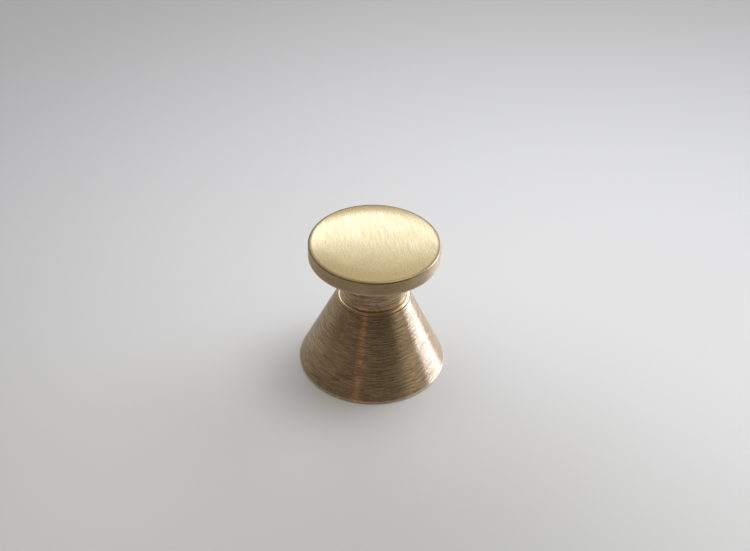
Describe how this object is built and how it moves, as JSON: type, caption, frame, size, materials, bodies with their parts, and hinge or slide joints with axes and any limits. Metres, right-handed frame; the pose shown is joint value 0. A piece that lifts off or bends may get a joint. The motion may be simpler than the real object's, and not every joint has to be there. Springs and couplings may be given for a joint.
{
  "type": "cabinet knob",
  "caption": "Turned brass pull knob: a flat disc head on a straight neck, with a small bead and a wide cone below it, for a screw from behind.",
  "frame": {"origin": "centre of the flat base, on the door's or drawer front's surface", "axes": "+Z along the knob's axis, away from the door or drawer front"},
  "size_m": [0.032, 0.032, 0.0318],
  "materials": {
    "brass": "satin, aged"
  },
  "bodies": {
    "root": {"knob": "brass"}
  },
  "joints": []
}
